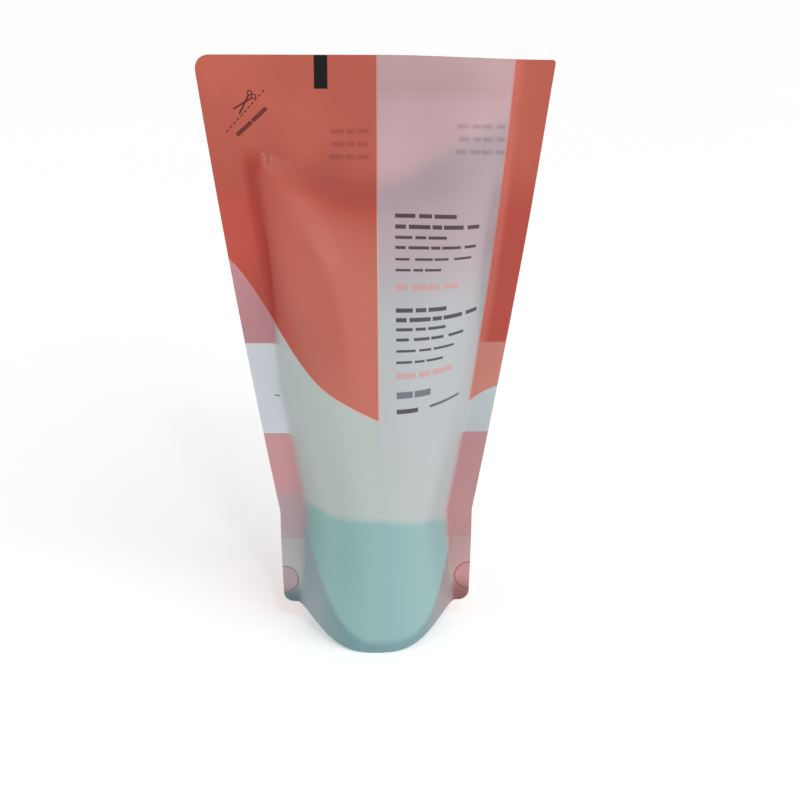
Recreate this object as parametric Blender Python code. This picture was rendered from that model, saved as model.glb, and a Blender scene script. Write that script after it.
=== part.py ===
# A stand-up refill pouch of body wash, filled and heat sealed. Blender 4.5, metres, +Z up, front face to -Y.
# The origin is on the table, under the middle of the pouch.
#
# The pouch is made of three webs of film. A front and a back panel are sealed to each other down both
# sides and across the top. The bottom gusset is a third web, folded up between them: it opens into an
# oval floor under the liquid, and stays folded flat in the two lower corners, where a round hole punched
# through it lets the front panel weld straight to the back one.
#
# Every surface comes from one height field, bulge(x, z): how far a panel stands off the middle surface. The
# front panel adds the fold that runs down from its left shoulder.

import math

import bmesh
import bpy

# Outline of the panels, seen from the front
HEIGHT = 0.2205
TOP_WIDTH = 0.1260
WAIST_Z = 0.048
FOOT_WIDTH = 0.0710
FOOT_FLARE = 0.0016
SIDE_BOW = 0.0010
TEAR_CORNER_RADIUS = 0.0055
TOP_CORNER_RADIUS = 0.0012
FOOT_CORNER_RADIUS = 0.0040
FOOT_CORNER_LIFT = 0.0100
FOOT_POWERS = (3.0, 1.5)

# Film and heat seals
FILM = 0.00015
LAYER_GAP = 0.00035
SIDE_SEAL = 0.0090
FOOT_SEAL = 0.0050

# How far the filled panels stand off the middle plane
FOOT_DEPTH = 0.0227
BELLY_DEPTH = 0.0325
BELLY_Z = 0.045
BULGE_TOP_Z = 0.166
SHOULDER_RISE = 0.021
SHOULDER_X = 0.040

# Exponents of the bulge: up its middle, and across it at the belly and at its top
UPRIGHT_POWER = 1.3
BELLY_ACROSS = (2.6, 1.6)
TOP_ACROSS = (3.0, 1.0)

# The crease inside each side seal, where a panel leaves the flat
CREASE_INSET = 0.0145
CREASE_LOW_Z = 0.090
CREASE_HIGH_Z = 0.160

# The firm fold that runs down from the front panel's left shoulder, beside the crease
SIDE_FOLD_HEIGHT = 0.0036
SIDE_FOLD_INSET = 0.0022
SIDE_FOLD_STEEP = 0.0036
SIDE_FOLD_SOFT = 0.0100
SIDE_FOLD_LOW_Z = 0.108
SIDE_FOLD_GROWTH = 0.035
SIDE_FOLD_HIGH_Z = 0.189
SIDE_FOLD_END = 0.011

# The flat top doesn't stand quite square: its ends lean opposite ways
TOP_TWIST = 0.0030

# Bottom gusset
FOLD_Z = 0.037
FOLD_FADE = 0.008
FOLD_HALF_SPAN = 0.0262
FOLD_LEG_OFFSET = 0.0003
CLOSED_FOLD = 0.0016
FLANGE_HEIGHT = 0.0055
SEAL_LINE_POWER = 2.4
FLOOR_FLAT_HALF_LENGTH = 0.012
FLOOR_FLAT_SHARE = 0.50
FLOOR_EDGE_RADIUS = 0.0015
FLOOR_EDGE_SHARE = 0.8
PUNCH_RADIUS = 0.0055
PUNCH_Z = 0.0190
PUNCH_REACH = 0.010

# Liquid
FILL_Z = 0.158
LIQUID_EDGE_SHARE = 0.93
LIQUID_EDGE_HALF_THICKNESS = 0.0001
LIQUID_GAP = 0.0005
FLOOR_CLEARANCE = 0.0006
CUTTER_MARGIN = 0.004

# Stations across half of each web: on its flat middle, over its creases, and on its side seal
FLAT_COLUMNS = 5
CREASE_COLUMNS = 7
SEAL_COLUMNS = 2
CREASE_FROM_SHARE = 0.58
CREASE_TO_SHARE = 0.92

# Other facets
ROWS_BELOW_BELLY = 12
ROWS_ON_BULGE = 12
ROWS_ON_TOP = 4
ROWS_IN_CORNER = 4
LEG_POINTS = 6
EDGE_ARC_POINTS = 2
FLOOR_POINTS = 11
LIQUID_COLUMNS = 20
LIQUID_CROWDING = 0.6
LIQUID_ROWS = 20
PUNCH_SIDES = 32
SHARP_ANGLE = math.radians(40)

ROUGHNESS = 0.42
COLOURS = {
    "front_panel": (0.62, 0.16, 0.11, 1.0),
    "back_panel": (0.66, 0.27, 0.24, 1.0),
    "bottom_gusset": (0.36, 0.62, 0.60, 1.0),
    "body_wash": (0.86, 0.85, 0.80, 1.0),
}


def clamp(value, low=0.0, high=1.0):
    return max(low, min(high, value))


def smooth(t):
    """0 below 0, 1 above 1, and an S between them."""
    t = clamp(t)
    return t * t * (3 - 2 * t)


def mix(a, b, t):
    return a + (b - a) * t


def spread(count, crowding=0.0):
    """count + 1 numbers from -1 to 1, crowded towards both ends as crowding goes to 1."""
    even = [2 * i / count - 1 for i in range(count + 1)]
    return [mix(t, math.sin(t * math.pi / 2), crowding) for t in even]


# The outline


def side_x(z):
    """Half the width across the side seals, at height z."""
    waist = FOOT_WIDTH + FOOT_FLARE
    if z < WAIST_Z:
        return mix(FOOT_WIDTH, waist, smooth(z / WAIST_Z)) / 2
    t = (z - WAIST_Z) / (HEIGHT - WAIST_Z)
    return mix(waist, TOP_WIDTH, t) / 2 + SIDE_BOW * 4 * t * (1 - t)


def rounded_off(distance, radius):
    """How far an arc of this radius cuts back from a corner, at a distance from its start."""
    reach = clamp(distance, 0.0, radius)
    return radius - math.sqrt(radius**2 - reach**2)


def edge_x(side, z):
    """The panel's edge on one side, -1 or 1, with its top corner rounded off."""
    radius = TEAR_CORNER_RADIUS if side < 0 else TOP_CORNER_RADIUS
    return side * (side_x(z) - rounded_off(z - (HEIGHT - radius), radius))


def crease_x(z):
    """Half the width of the bulge: to the side seals low down, to the creases inside them higher up."""
    low = mix(FOOT_SEAL, SIDE_SEAL, smooth(z / WAIST_Z))
    up = smooth((z - CREASE_LOW_Z) / (CREASE_HIGH_Z - CREASE_LOW_Z))
    return side_x(z) - mix(low, CREASE_INSET, up)


# The bulge of a filled panel


def way_up(z):
    """0 at the belly and below it, 1 at the top of the bulge and above it."""
    return clamp((z - BELLY_Z) / (BULGE_TOP_Z - BELLY_Z))


def centre_depth(z):
    """How far the middle of a panel stands off the middle surface."""
    if z < BELLY_Z:
        return mix(BELLY_DEPTH, FOOT_DEPTH, (1 - max(z, 0.0) / BELLY_Z) ** 2)
    return BELLY_DEPTH * (1 - way_up(z) ** 2) ** UPRIGHT_POWER


def across(u, z):
    """Share of the centre depth at a share u of the way from the middle to the crease."""
    inner, outer = [mix(low, high, smooth(way_up(z))) for low, high in zip(BELLY_ACROSS, TOP_ACROSS)]
    return (1 - clamp(abs(u)) ** inner) ** outer


def bulge(x, z):
    """How far the film stands off its place in the flat seal: its top runs up into two shoulders."""
    shoulder = SHOULDER_RISE * (x / SHOULDER_X) ** 2 * smooth(way_up(z))
    return centre_depth(z - shoulder) * across(x / crease_x(z), z)


def side_fold(x, z):
    """How far the front panel's side fold stands up: steep towards the seal, soft towards the middle."""
    from_ridge = x + crease_x(z) - SIDE_FOLD_INSET
    width = SIDE_FOLD_STEEP if from_ridge < 0 else SIDE_FOLD_SOFT
    grows = smooth((z - SIDE_FOLD_LOW_Z) / SIDE_FOLD_GROWTH)
    ends = smooth((SIDE_FOLD_HIGH_Z - z) / SIDE_FOLD_END)
    return SIDE_FOLD_HEIGHT * grows * ends * math.exp(-((from_ridge / width) ** 2))


def middle_y(x, z):
    """The middle surface between the panels, which the flat top twists out of its plane."""
    share = clamp((z - BELLY_Z) / (HEIGHT - BELLY_Z))
    return -TOP_TWIST * x / (TOP_WIDTH / 2) * share**2


def seal_offset(z):
    """From the middle surface to a panel's inner face in the seals: the folded gusset lies between below."""
    over_fold = FOLD_LEG_OFFSET + FILM / 2 + LAYER_GAP
    return mix(over_fold, LAYER_GAP / 2, smooth((z - FOLD_Z) / FOLD_FADE))


def inner_face(x, z):
    """From the middle surface to the back panel's inner face."""
    return seal_offset(z) + bulge(x, z)


def front_inner_face(x, z):
    """From the middle surface to the front panel's inner face, which has the side fold as well."""
    return inner_face(x, z) + side_fold(x, z)


def steepness(surface, a, b, step=0.0002):
    """How much longer a height field's offset is along its axis than square to its surface."""
    slope_a = (surface(a + step, b) - surface(a - step, b)) / (2 * step)
    slope_b = (surface(a, b + step) - surface(a, b - step)) / (2 * step)
    return math.sqrt(1 + slope_a**2 + slope_b**2)


def layer_y(x, z, distance, face=inner_face):
    """From the middle surface to a layer at this distance outside a panel's inner face."""
    return face(x, z) + distance * steepness(face, x, z)


def foot_z(x):
    """The bottom edge of the panels: on the table in the middle, lifted and rounded in the corners."""
    half = FOOT_WIDTH / 2
    u = clamp(abs(x) / (half - FOOT_SEAL))
    lift = FOOT_CORNER_LIFT * (1 - (1 - u ** FOOT_POWERS[0]) ** FOOT_POWERS[1])
    corner = rounded_off(abs(x) - (half - FOOT_CORNER_RADIUS), FOOT_CORNER_RADIUS)
    return lift + corner


# The gusset's own lines


def seal_line_z(x):
    """Where the gusset parts from the panels: low in the middle, up to the fold at the sides."""
    u = clamp(abs(x) / FOLD_HALF_SPAN)
    return mix(FLANGE_HEIGHT, FOLD_Z, u**SEAL_LINE_POWER)


def gusset_y(x, z):
    """From the middle surface to the middle of the gusset's film, where it lies against a panel."""
    return layer_y(x, z, -LAYER_GAP - FILM / 2)


def floor_edge(u):
    """(x, half the width, height, edge radius) of the open floor at a share u of the half width."""
    z = seal_line_z(u * FOOT_WIDTH / 2)
    x = u * side_x(z)
    radius = min(FLOOR_EDGE_RADIUS, FLOOR_EDGE_SHARE * gusset_y(x, z))
    return x, gusset_y(x, z - radius), z, radius


def floor_z(x, y):
    """Height of the gusset's floor: flat on the table in the middle, rising to its sealed edge."""
    half, top, radius = floor_edge(x / side_x(seal_line_z(x)))[1:]
    flat = FLOOR_FLAT_HALF_LENGTH
    middle = mix(FILM / 2, top, smooth((abs(x) - flat) / (FOLD_HALF_SPAN - flat)))
    share = clamp(abs(y) / (half - radius))
    return mix(middle, top, smooth((share - FLOOR_FLAT_SHARE) / (1 - FLOOR_FLAT_SHARE)))


# Mesh building


def make_material(name):
    material = bpy.data.materials.new(name)
    material.use_nodes = True
    shader = material.node_tree.nodes["Principled BSDF"]
    shader.inputs["Base Color"].default_value = COLOURS[name]
    shader.inputs["Roughness"].default_value = ROUGHNESS
    shader.inputs["Metallic"].default_value = 0.0
    material.diffuse_color = COLOURS[name]
    return material


def add_object(name, bm):
    mesh = bpy.data.meshes.new(name)
    bmesh.ops.recalc_face_normals(bm, faces=bm.faces)
    bm.to_mesh(mesh)
    bm.free()
    mesh.shade_smooth()
    mesh.set_sharp_from_angle(angle=SHARP_ANGLE)
    obj = bpy.data.objects.new(name, mesh)
    bpy.context.scene.collection.objects.link(obj)
    return obj


def stitch(bm, low, high):
    """Faces between two chains of vertices. Where one has more, its extra ones fan onto the other."""
    i = j = 0
    while i < len(low) - 1 or j < len(high) - 1:
        middle_low = (i + 0.5) / (len(low) - 1)
        middle_high = (j + 0.5) / (len(high) - 1)
        if abs(middle_low - middle_high) < 1e-6:
            bm.faces.new((low[i], low[i + 1], high[j + 1], high[j]))
            i, j = i + 1, j + 1
        elif middle_low < middle_high:
            bm.faces.new((low[i], low[i + 1], high[j]))
            i += 1
        else:
            bm.faces.new((high[j + 1], high[j], low[i]))
            j += 1


def skin(bm, rows, ring=False):
    """Faces between rows of points. With ring, each row closes on itself. Returns the rows of vertices."""
    verts = [[bm.verts.new(point) for point in row] for row in rows]
    chains = [row + row[:1] if ring else row for row in verts]
    for low, high in zip(chains, chains[1:]):
        stitch(bm, low, high)
    return verts


def add_film(name, bm):
    """One web of film: a sheet through its middle, thickened to both sides."""
    obj = add_object(name, bm)
    obj.data.materials.append(make_material(name))
    thicken = obj.modifiers.new("film thickness", "SOLIDIFY")
    thicken.thickness = FILM
    thicken.offset = 0.0
    thicken.use_quality_normals = True
    return obj


def add_cutter(name, bm):
    obj = add_object(name, bm)
    obj.display_type = "WIRE"
    obj.hide_render = True
    return obj


def cut(obj, cutter):
    boolean = obj.modifiers.new("cut " + cutter.name, "BOOLEAN")
    boolean.operation = "DIFFERENCE"
    boolean.object = cutter


def film_columns():
    """Stations across every web of film, as shares of its half width, so that their facets lie parallel.
    They are closest where the film creases."""
    half = [CREASE_FROM_SHARE * i / FLAT_COLUMNS for i in range(FLAT_COLUMNS)]
    half += [mix(CREASE_FROM_SHARE, CREASE_TO_SHARE, i / CREASE_COLUMNS) for i in range(CREASE_COLUMNS)]
    half += [mix(CREASE_TO_SHARE, 1.0, i / SEAL_COLUMNS) for i in range(SEAL_COLUMNS + 1)]
    return [-u for u in reversed(half[1:])] + half


# The panels


def panel_heights(low):
    """Heights of the panel's rows over a foot at this height, the last of them turning the top corner."""
    corner_z = HEIGHT - TEAR_CORNER_RADIUS
    heights = [mix(low, BELLY_Z, i / ROWS_BELOW_BELLY) for i in range(ROWS_BELOW_BELLY)]
    heights += [mix(BELLY_Z, BULGE_TOP_Z, i / ROWS_ON_BULGE) for i in range(ROWS_ON_BULGE)]
    heights += [mix(BULGE_TOP_Z, corner_z, i / ROWS_ON_TOP) for i in range(ROWS_ON_TOP)]
    turns = [i / ROWS_IN_CORNER * math.pi / 2 for i in range(ROWS_IN_CORNER + 1)]
    return heights + [corner_z + TEAR_CORNER_RADIUS * math.sin(turn) for turn in turns]


def add_panel(name, facing, face):
    """A panel outside this inner face. facing is -1 for the front one and 1 for the back one."""
    columns = []
    for u in film_columns():
        column = []
        for z in panel_heights(foot_z(u * FOOT_WIDTH / 2)):
            x = edge_x(math.copysign(1, u), z) * abs(u)
            column.append((x, middle_y(x, z) + facing * layer_y(x, z, FILM / 2, face), z))
        columns.append(column)
    bm = bmesh.new()
    skin(bm, columns)
    return add_film(name, bm)


# The bottom gusset


def gusset_section(u):
    """The gusset's film at one station: its front leg, what joins the legs at the top, its back leg."""
    x, half, top, radius = floor_edge(u)
    is_open = half > CLOSED_FOLD
    low = foot_z(u * FOOT_WIDTH / 2)
    leg_top = top - radius if is_open else top
    front_leg = []
    for i in range(LEG_POINTS + 1):
        z = mix(low, leg_top, i / LEG_POINTS)
        front_leg.append((u * side_x(z), -gusset_y(u * side_x(z), z), z))
    back_leg = [(x, -y, z) for x, y, z in reversed(front_leg)]
    if not is_open:
        return front_leg, [], back_leg
    edge = []
    for i in range(1, EDGE_ARC_POINTS + 1):
        turn = i / (EDGE_ARC_POINTS + 1) * math.pi / 2
        y = -half + radius * (1 - math.cos(turn))
        edge.append((x, y, top - radius + radius * math.sin(turn)))
    floor = []
    for share in spread(FLOOR_POINTS - 1):
        y = share * (half - radius)
        floor.append((x, y, floor_z(x, y)))
    other_edge = [(x, -y, z) for x, y, z in reversed(edge)]
    return front_leg, edge + floor + other_edge, back_leg


def add_gusset():
    bm = bmesh.new()
    sections = []
    for u in film_columns():
        sections.append([[bm.verts.new(point) for point in run] for run in gusset_section(u)])
    for near, far in zip(sections, sections[1:]):
        stitch(bm, near[0], far[0])
        stitch(bm, near[0][-1:] + near[1] + near[2][:1], far[0][-1:] + far[1] + far[2][:1])
        stitch(bm, near[2], far[2])
    obj = add_film("bottom_gusset", bm)
    for side in (-1, 1):
        bm = bmesh.new()
        bmesh.ops.create_cone(
            bm,
            cap_ends=True,
            segments=PUNCH_SIDES,
            radius1=PUNCH_RADIUS,
            radius2=PUNCH_RADIUS,
            depth=2 * PUNCH_REACH,
        )
        punch = add_cutter("punch_left" if side < 0 else "punch_right", bm)
        punch.rotation_euler = (math.pi / 2, 0, 0)
        punch.location = (side * side_x(PUNCH_Z), 0, PUNCH_Z)
        cut(obj, punch)
    return obj


# The liquid


def liquid_ring(z):
    """The liquid's outline at height z, clear of both panels."""
    reach = crease_x(z) * LIQUID_EDGE_SHARE
    lines = [share * reach for share in spread(LIQUID_COLUMNS, crowding=LIQUID_CROWDING)]
    ring = []
    for facing, face, along in ((-1, front_inner_face, lines), (1, inner_face, lines[::-1])):
        for x in along:
            out = max(layer_y(x, z, -LIQUID_GAP, face), LIQUID_EDGE_HALF_THICKNESS)
            ring.append((x, middle_y(x, z) + facing * out, z))
    return ring


def add_floor_cutter():
    """What lies under the liquid: the gusset's floor, with its clearance."""
    reach_y = BELLY_DEPTH + CUTTER_MARGIN
    bm = bmesh.new()
    tops = []
    for u in film_columns():
        x, half, top, radius = floor_edge(u)
        reach = max(half - radius, CLOSED_FOLD)
        lines = [share * reach for share in spread(FLOOR_POINTS - 1)]
        section = [(x, -reach_y, top)] + [(x, y, floor_z(x, y)) for y in lines] + [(x, reach_y, top)]
        clear = (FILM / 2 + FLOOR_CLEARANCE) * max(steepness(floor_z, x, y) for y in lines)
        tops.append([(x, y, z + clear) for x, y, z in section])
    upper = skin(bm, tops)
    lower = skin(bm, [[(x, y, -CUTTER_MARGIN) for x, y, z in section] for section in tops])
    for end in (0, -1):
        for i in range(len(upper[0]) - 1):
            bm.faces.new((upper[end][i], upper[end][i + 1], lower[end][i + 1], lower[end][i]))
        for i in range(len(upper) - 1):
            bm.faces.new((upper[i][end], upper[i + 1][end], lower[i + 1][end], lower[i][end]))
    return add_cutter("under_the_floor", bm)


def add_liquid():
    bm = bmesh.new()
    heights = [FILL_Z * i / LIQUID_ROWS for i in range(LIQUID_ROWS + 1)]
    rings = skin(bm, [liquid_ring(z) for z in heights], ring=True)
    for ring in (rings[0], rings[-1]):
        count = len(ring)
        for i in range(count // 2 - 1):
            bm.faces.new((ring[i], ring[i + 1], ring[count - 2 - i], ring[count - 1 - i]))
    obj = add_object("body_wash", bm)
    obj.data.materials.append(make_material("body_wash"))
    cut(obj, add_floor_cutter())
    return obj


def main():
    for obj in list(bpy.data.objects):
        bpy.data.objects.remove(obj)
    add_panel("front_panel", -1, front_inner_face)
    add_panel("back_panel", 1, inner_face)
    add_gusset()
    add_liquid()


main()
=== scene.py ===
# %% [markdown]
# A filled refill pouch, dressed
#
# The real object is a stand-up pouch of body wash. Two webs of frosted film, front and back, are heat sealed
# down both sides and across the top, and a third web is folded up between them as the foot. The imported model
# has the right size and place for each web. This lesson builds the same webs again as fine sheets, from the
# same lines, and then gives them their folds, their print and the satin skin of film.

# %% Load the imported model
import math

import bmesh
import bpy
import numpy as np
from mathutils import Euler, Matrix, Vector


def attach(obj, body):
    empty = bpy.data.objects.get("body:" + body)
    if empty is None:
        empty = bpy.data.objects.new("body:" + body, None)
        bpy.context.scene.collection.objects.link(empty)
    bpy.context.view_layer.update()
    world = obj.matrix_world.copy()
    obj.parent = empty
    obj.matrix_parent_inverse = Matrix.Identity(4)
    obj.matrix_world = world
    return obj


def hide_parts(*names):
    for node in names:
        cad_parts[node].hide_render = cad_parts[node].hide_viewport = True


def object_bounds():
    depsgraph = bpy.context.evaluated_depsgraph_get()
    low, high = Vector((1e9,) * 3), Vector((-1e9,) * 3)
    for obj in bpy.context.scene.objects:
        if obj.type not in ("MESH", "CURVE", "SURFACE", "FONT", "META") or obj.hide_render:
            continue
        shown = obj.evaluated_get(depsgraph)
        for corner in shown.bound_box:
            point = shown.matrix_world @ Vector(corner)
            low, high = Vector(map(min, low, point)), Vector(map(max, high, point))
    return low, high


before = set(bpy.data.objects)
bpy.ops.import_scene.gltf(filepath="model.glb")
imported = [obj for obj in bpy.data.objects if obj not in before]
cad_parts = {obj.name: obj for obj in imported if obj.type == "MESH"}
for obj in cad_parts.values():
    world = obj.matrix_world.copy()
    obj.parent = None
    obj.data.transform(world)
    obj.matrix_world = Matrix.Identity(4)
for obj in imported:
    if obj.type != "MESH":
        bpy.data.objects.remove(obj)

# Shapes are in metres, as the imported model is. The print is in millimetres.
MILLIMETRES = 1000

cad_box = [list(corner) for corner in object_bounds()]
print("packed model, lowest and highest corner in metres:", cad_box)

# %% [markdown]
# The outline
#
# Seen from the front, the pouch is a tall taper on a short straight foot, with one top corner rounded for
# tearing. It could be traced point by point. A few lengths and an S curve say the same thing, and they give
# the half width at any height, so that every sheet below can be as fine as it needs to be.

# %% Half the width at any height
HEIGHT = cad_box[1][2]
TOP_WIDTH = 0.1260
WAIST_Z = 0.048
FOOT_WIDTH = 0.0710
FOOT_FLARE = 0.0016
SIDE_BOW = 0.0010
TEAR_CORNER_RADIUS = 0.0055
TOP_CORNER_RADIUS = 0.0012


def smooth(t):
    t = np.clip(t, 0.0, 1.0)
    return t * t * (3 - 2 * t)


def mix(a, b, t):
    return a + (b - a) * t


def side_x(z):
    waist = FOOT_WIDTH + FOOT_FLARE
    t = (z - WAIST_Z) / (HEIGHT - WAIST_Z)
    below = mix(FOOT_WIDTH, waist, smooth(z / WAIST_Z)) / 2
    above = mix(waist, TOP_WIDTH, t) / 2 + SIDE_BOW * 4 * t * (1 - t)
    return np.where(z < WAIST_Z, below, above)


def rounded_off(distance, radius):
    reach = np.clip(distance, 0.0, radius)
    return radius - np.sqrt(radius**2 - reach**2)


def edge_x(side, z):
    radius = np.where(side < 0, TEAR_CORNER_RADIUS, TOP_CORNER_RADIUS)
    return side * (side_x(z) - rounded_off(z - (HEIGHT - radius), radius))


print("half width at the waist:", round(float(side_x(WAIST_Z)), 4), "and at the top:", TOP_WIDTH / 2)

# %% [markdown]
# The foot
#
# The lower edge of the panels touches the table in the middle and lifts towards two rounded corners. It is a
# curve of its own, so it gets its own small function.

# %% Height of the lower edge
FOOT_SEAL = 0.0050
FOOT_CORNER_RADIUS = 0.0040
FOOT_CORNER_LIFT = 0.0100
FOOT_LIFT_POWERS = (3, 1.5)


def foot_z(x):
    half = FOOT_WIDTH / 2
    u = np.clip(np.abs(x) / (half - FOOT_SEAL), 0.0, 1.0)
    inner, outer = FOOT_LIFT_POWERS
    lift = FOOT_CORNER_LIFT * (1 - (1 - u**inner) ** outer)
    return lift + rounded_off(np.abs(x) - (half - FOOT_CORNER_RADIUS), FOOT_CORNER_RADIUS)


print("lower edge: lifts by", FOOT_CORNER_LIFT, "and ends at", float(foot_z(FOOT_WIDTH / 2)))

# %% [markdown]
# The bulge
#
# Film doesn't stretch much. A filled pouch stands out where the liquid pushes and stays flat in its seals,
# and its headspace is pressed nearly flat. Inflating a cloth would find such a shape too, but not this one.
# A height field is steadier: how far a panel stands off the middle surface, at any place on it.

# %% How far a panel stands out
FILM = 0.00015
LAYER_GAP = 0.00035
SIDE_SEAL = 0.0090
FOOT_DEPTH = 0.0227
BELLY_DEPTH = 0.0325
BELLY_Z = 0.045
BULGE_TOP_Z = 0.166
SHOULDER_RISE = 0.021
SHOULDER_X = 0.040
CREASE_INSET = 0.0145
CREASE_LOW_Z = 0.090
CREASE_HIGH_Z = 0.160
UPRIGHT_POWER = 1.3
BELLY_ACROSS = (2.6, 1.6)
TOP_ACROSS = (3.0, 1.0)
TOP_TWIST = 0.0030
CORNER_CURL = 0.0028
CURL_LOW_Z = 0.150
CURL_INWARDS = 0.0010
CURL_DROP = 0.0011
FOLD_Z = 0.037
FOLD_FADE = 0.008
FOLD_LEG_OFFSET = 0.0003
SLOPE_STEP = 0.0002


def crease_x(z):
    low = mix(FOOT_SEAL, SIDE_SEAL, smooth(z / WAIST_Z))
    up = smooth((z - CREASE_LOW_Z) / (CREASE_HIGH_Z - CREASE_LOW_Z))
    return side_x(z) - mix(low, CREASE_INSET, up)


def way_up(z):
    return np.clip((z - BELLY_Z) / (BULGE_TOP_Z - BELLY_Z), 0.0, 1.0)


def centre_depth(z):
    below = mix(BELLY_DEPTH, FOOT_DEPTH, (1 - np.clip(z, 0.0, BELLY_Z) / BELLY_Z) ** 2)
    return np.where(z < BELLY_Z, below, BELLY_DEPTH * (1 - way_up(z) ** 2) ** UPRIGHT_POWER)


def bulge(x, z):
    up = smooth(way_up(z))
    inner, outer = [mix(low, high, up) for low, high in zip(BELLY_ACROSS, TOP_ACROSS)]
    across = (1 - np.clip(np.abs(x) / crease_x(z), 0.0, 1.0) ** inner) ** outer
    return centre_depth(z - SHOULDER_RISE * (x / SHOULDER_X) ** 2 * up) * across


def curled(x, z):
    """How much a place shares in the forward curl of the top right corner."""
    return smooth(x / (TOP_WIDTH / 2)) * smooth((z - CURL_LOW_Z) / (HEIGHT - CURL_LOW_Z))


def middle_y(x, z):
    share = np.clip((z - BELLY_Z) / (HEIGHT - BELLY_Z), 0.0, 1.0)
    return -TOP_TWIST * x / (TOP_WIDTH / 2) * share**2 - CORNER_CURL * curled(x, z)


def inner_face(x, z):
    over_fold = FOLD_LEG_OFFSET + FILM / 2 + LAYER_GAP
    return mix(over_fold, LAYER_GAP / 2, smooth((z - FOLD_Z) / FOLD_FADE)) + bulge(x, z)


def steepness(surface, a, b):
    """How much longer a step along the surface is than the same step on the flat."""
    slope_a = (surface(a + SLOPE_STEP, b) - surface(a - SLOPE_STEP, b)) / (2 * SLOPE_STEP)
    slope_b = (surface(a, b + SLOPE_STEP) - surface(a, b - SLOPE_STEP)) / (2 * SLOPE_STEP)
    return np.sqrt(1 + slope_a**2 + slope_b**2)


def layer_y(x, z, distance):
    return inner_face(x, z) + distance * steepness(inner_face, x, z)


print("belly, front to back:", 2 * BELLY_DEPTH)

# %% [markdown]
# Folds in the film
#
# Where the full belly pulls a flat sheet round, the spare film has to go somewhere. On the front it gathers
# into one firm fold that runs down from the left shoulder, steep on the side of the seal. Elsewhere, front
# and back, it makes small creases. Each is a rounded ridge laid along a line and added to the height field,
# so it catches real light.

# %% Ridges added to the height field
SIDE_FOLD_HEIGHT = 0.0036
SIDE_FOLD_INSET = 0.0022
SIDE_FOLD_STEEP = 0.0036
SIDE_FOLD_SOFT = 0.0100
SIDE_FOLD_LOW_Z = 0.108
SIDE_FOLD_GROWTH = 0.035
SIDE_FOLD_HIGH_Z = 0.189
SIDE_FOLD_END = 0.011
CREASE_END = 0.04

# Small creases: two ends (x, z), height and half width, all in millimetres
FRONT_CREASES = [
    ((-37.5, 184.5), (-24.0, 173.5), 0.45, 3.0),
    ((-27.5, 163.0), (-15.0, 141.0), 0.55, 4.5),
    ((-40.8, 186.3), (-39.2, 182.0), 0.55, 0.8),
    ((-37.2, 185.6), (-36.6, 182.4), 0.50, 0.7),
    ((46.5, 179.0), (43.6, 165.0), 0.60, 1.5),
    ((44.6, 163.0), (41.8, 147.0), 0.50, 1.3),
    ((41.5, 141.0), (39.4, 124.0), 0.40, 1.4),
    ((-33.5, 108.0), (-25.0, 82.0), -0.45, 2.0),
    ((-48.0, 199.0), (-8.0, 188.0), 0.30, 4.5),
    ((-34.0, 191.0), (-2.0, 177.0), -0.25, 4.0),
    ((14.0, 203.0), (45.0, 186.0), 0.30, 4.0),
    ((6.0, 176.0), (38.0, 188.0), -0.20, 3.5),
]
BACK_CREASES = [
    ((-40.0, 184.0), (-24.0, 166.0), 0.50, 3.0),
    ((38.0, 186.0), (20.0, 170.0), 0.45, 3.5),
    ((-45.0, 160.0), (-40.5, 128.0), 0.50, 1.5),
    ((44.5, 168.0), (41.0, 140.0), 0.55, 1.4),
    ((41.0, 134.0), (38.0, 112.0), 0.40, 1.4),
    ((-26.0, 150.0), (-12.0, 128.0), 0.35, 5.0),
    ((-20.0, 190.0), (24.0, 196.0), 0.30, 4.5),
    ((-30.0, 40.0), (-22.0, 22.0), 0.35, 2.2),
]


def side_fold(x, z):
    from_ridge = x + crease_x(z) - SIDE_FOLD_INSET
    width = np.where(from_ridge < 0, SIDE_FOLD_STEEP, SIDE_FOLD_SOFT)
    grows = smooth((z - SIDE_FOLD_LOW_Z) / SIDE_FOLD_GROWTH)
    ends = smooth((SIDE_FOLD_HIGH_Z - z) / SIDE_FOLD_END)
    return SIDE_FOLD_HEIGHT * grows * ends * np.exp(-((from_ridge / width) ** 2))


def small_creases(x, z, creases):
    total = np.zeros_like(x)
    for (x0, z0), (x1, z1), height, width in creases:
        along_x, along_z = (x1 - x0) / MILLIMETRES, (z1 - z0) / MILLIMETRES
        dx, dz = x - x0 / MILLIMETRES, z - z0 / MILLIMETRES
        length_squared = along_x**2 + along_z**2
        t = np.clip((dx * along_x + dz * along_z) / length_squared, 0.0, 1.0)
        off = (dx - t * along_x) ** 2 + (dz - t * along_z) ** 2
        swell = np.sin(np.pi * np.clip(t, CREASE_END, 1 - CREASE_END))
        total += height / MILLIMETRES * swell * np.exp(-off / (width / MILLIMETRES) ** 2)
    return total


def front_relief(x, z):
    return side_fold(x, z) + small_creases(x, z, FRONT_CREASES)


def back_relief(x, z):
    return small_creases(x, z, BACK_CREASES)


print("one side fold, with small creases:", len(FRONT_CREASES), "front and", len(BACK_CREASES), "back")

# %% [markdown]
# From points to a sheet
#
# A web of film is a grid of points. Blender builds a mesh from lists of points and faces, and its Solidify
# modifier gives the sheet the film's real thickness, which closes the edges too. The modifiers are applied
# here, so that the piece holds the shape which is seen.

# %% Build and thicken a sheet
SHARP_ANGLE = math.radians(50)
CROWDING = 0.45


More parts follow.
